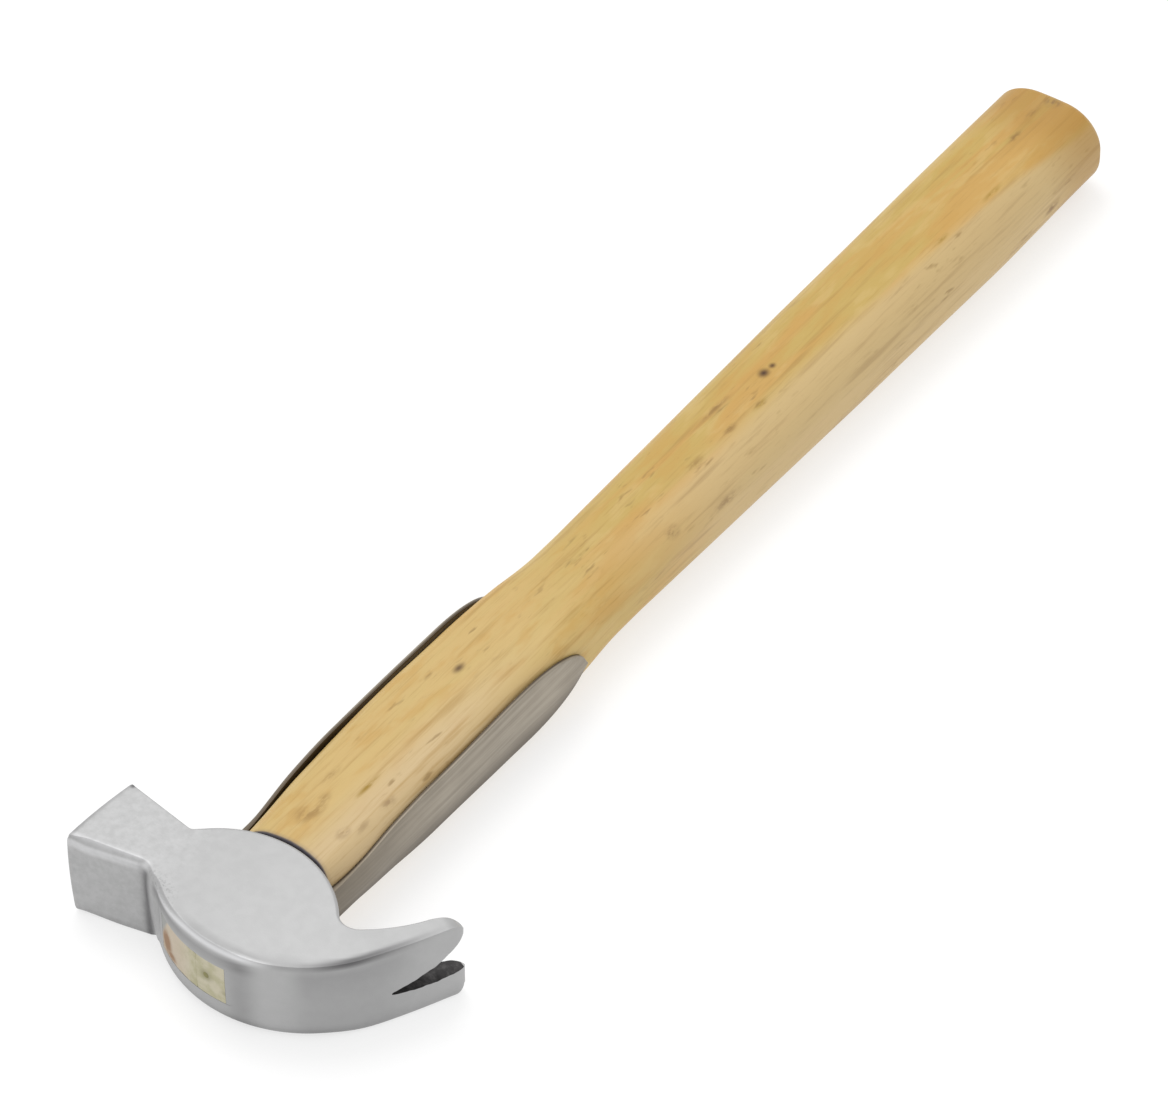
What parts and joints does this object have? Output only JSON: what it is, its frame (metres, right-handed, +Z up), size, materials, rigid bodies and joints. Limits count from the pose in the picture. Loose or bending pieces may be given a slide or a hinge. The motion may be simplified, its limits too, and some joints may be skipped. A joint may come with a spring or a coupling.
{
  "type": "farrier driving hammer",
  "caption": "Small forged hammer with a domed square face, split nail claws and a wooden handle held by steel side straps.",
  "frame": {"origin": "on the lower cheek of the head, straight below the point where the axis of the head crosses the axis of the handle", "axes": "+X from the striking face to the claws, +Y along the handle from the crown of the head to the butt, +Z up, square to the cheeks"},
  "size_m": [0.0903, 0.3609, 0.0236],
  "materials": {
    "head_steel": "fine ground, satin",
    "strap_steel": "rolled, dull satin",
    "handle_wood": "lacquered pale ash with fine grain flecks",
    "wedge_wood": "raw end grain",
    "pin_steel": "dull, tarnished"
  },
  "bodies": {
    "root": {"hammer_head": "head_steel", "handle": "handle_wood", "face_side_strap": "strap_steel", "claw_side_strap": "strap_steel", "eye_wedge": "wedge_wood", "eye_pin": "pin_steel"}
  },
  "joints": []
}
